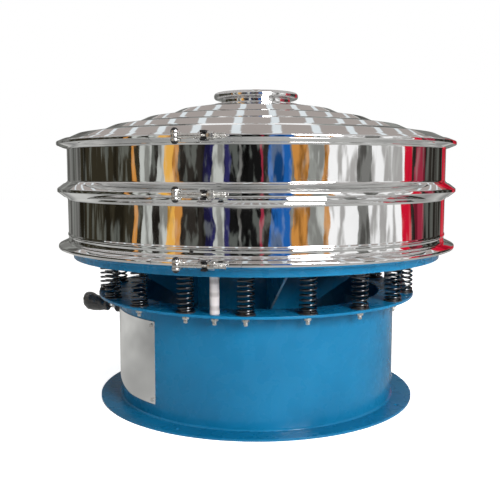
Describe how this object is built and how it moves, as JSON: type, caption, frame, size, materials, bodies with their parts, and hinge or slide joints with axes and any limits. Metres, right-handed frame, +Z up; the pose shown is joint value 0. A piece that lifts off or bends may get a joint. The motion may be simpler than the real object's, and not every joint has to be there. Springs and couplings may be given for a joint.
{
  "type": "vibrating sieve",
  "caption": "Round vibrating sieve: drum base on a spring circle, stacked stainless frames, V-clamp rings, stepped conical lid with feed inlet, side outlets and vertical motor.",
  "frame": {"origin": "middle of the foot flange's underside, at the centre of the anchor-hole circle", "axes": "+Z up along the machine's axis to the feed inlet, -Y towards the side with the clamp-ring closures, outlets towards +Y"},
  "size_m": [1.5798, 1.6658, 1.216],
  "materials": {
    "blue_enamel": "glossy blue enamel",
    "mirror_stainless": "mirror-polished stainless sheet",
    "bright_fasteners": "bright zinc plate",
    "black_seat": "black paint",
    "black_spring": "glossy black enamel on spring wire",
    "threaded_rod": "zinc plate",
    "white_tape": "white adhesive tape",
    "black_cable": "black sheath",
    "black_film": "glossy black wrapping film",
    "black_gland": "black nylon",
    "seal_rubber": "white silicone rubber",
    "wire_cloth": "woven stainless wire",
    "motor_paint": "grey machine paint",
    "core_steel": "laminated core",
    "bearing_steel": "ground steel",
    "weight_iron": "cast iron"
  },
  "bodies": {
    "base": {"foot_flange": "blue_enamel", "base_drum": "blue_enamel", "spring_ring": "blue_enamel", "left_cover": "mirror_stainless", "left_cover_screws": "bright_fasteners", "right_cover": "mirror_stainless", "right_cover_screws": "bright_fasteners", "cable_gland": "black_gland", "cable_lead": "black_cable", "cable_hank": "black_film", "lower_spring_seats": "black_seat", "spring_nuts": "bright_fasteners", "transport_rods": "threaded_rod", "rod_sleeves": "white_tape", "rod_nuts": "bright_fasteners", "springs": "black_spring"},
    "vibrating_frame": {"upper_spring_seats": "black_seat", "vibrating_dish": "blue_enamel", "motor_tube": "blue_enamel", "gussets": "blue_enamel", "lower_seal": "seal_rubber", "middle_seal": "seal_rubber", "upper_seal": "seal_rubber", "lower_clamp_ring": "mirror_stainless", "middle_clamp_ring": "mirror_stainless", "upper_clamp_ring": "mirror_stainless", "lower_frame": "mirror_stainless", "upper_frame": "mirror_stainless", "lower_spout": "mirror_stainless", "upper_spout": "mirror_stainless", "discharge_pan": "mirror_stainless", "screen_frame": "mirror_stainless", "screen_cloth": "wire_cloth", "lid": "mirror_stainless", "feed_inlet": "mirror_stainless", "motor_housing": "motor_paint", "stator": "core_steel", "motor_bearings": "bearing_steel", "motor_bolts": "bright_fasteners", "terminal_box": "motor_paint", "terminal_cover": "motor_paint", "lower_clamp_bracket": "bright_fasteners", "lower_clamp_pin": "bright_fasteners", "lower_clamp_saddle": "bright_fasteners", "middle_clamp_bracket": "bright_fasteners", "middle_clamp_pin": "bright_fasteners", "middle_clamp_saddle": "bright_fasteners", "upper_clamp_bracket": "bright_fasteners", "upper_clamp_pin": "bright_fasteners", "upper_clamp_saddle": "bright_fasteners"},
    "rotor": {"motor_shaft": "bearing_steel", "rotor_core": "core_steel", "upper_weight": "weight_iron"},
    "phase_weight": {"lower_weight": "weight_iron"},
    "lower_bolt": {"lower_swing_bolt": "bright_fasteners"},
    "lower_nut": {"lower_clamp_nut": "bright_fasteners"},
    "middle_bolt": {"middle_swing_bolt": "bright_fasteners"},
    "middle_nut": {"middle_clamp_nut": "bright_fasteners"},
    "upper_bolt": {"upper_swing_bolt": "bright_fasteners"},
    "upper_nut": {"upper_clamp_nut": "bright_fasteners"}
  },
  "joints": [
    {"name": "spring_bounce", "type": "slide", "parent": "base", "child": "vibrating_frame", "axis": [0, 0, 1], "range_m": [-0.005, 0.005], "stiffness_N_per_m": 576000, "springref_m": 0.01143, "deforming": ["springs"]},
    {"name": "rotor_spin", "type": "hinge", "parent": "vibrating_frame", "child": "rotor", "pos_m": [0, 0, 0.365], "axis": [0, 0, 1], "continuous": true},
    {"name": "weight_phase", "type": "hinge", "parent": "rotor", "child": "phase_weight", "pos_m": [0, 0, 0.167], "axis": [0, 0, 1], "range_deg": [-45, 45]},
    {"name": "lower_bolt_swing", "type": "hinge", "parent": "vibrating_frame", "child": "lower_bolt", "pos_m": [-0.24569, -0.77972, 0.616], "axis": [0, 0, -1], "range_deg": [0, 100]},
    {"name": "lower_nut_travel", "type": "slide", "parent": "lower_bolt", "child": "lower_nut", "axis": [0.9744, -0.225, 0], "range_m": [0, 0.03]},
    {"name": "middle_bolt_swing", "type": "hinge", "parent": "vibrating_frame", "child": "middle_bolt", "pos_m": [-0.24569, -0.77972, 0.832], "axis": [0, 0, -1], "range_deg": [0, 100]},
    {"name": "middle_nut_travel", "type": "slide", "parent": "middle_bolt", "child": "middle_nut", "axis": [0.9744, -0.225, 0], "range_m": [0, 0.03]},
    {"name": "upper_bolt_swing", "type": "hinge", "parent": "vibrating_frame", "child": "upper_bolt", "pos_m": [-0.24569, -0.77972, 1.009], "axis": [0, 0, -1], "range_deg": [0, 100]},
    {"name": "upper_nut_travel", "type": "slide", "parent": "upper_bolt", "child": "upper_nut", "axis": [0.9744, -0.225, 0], "range_m": [0, 0.03]}
  ]
}
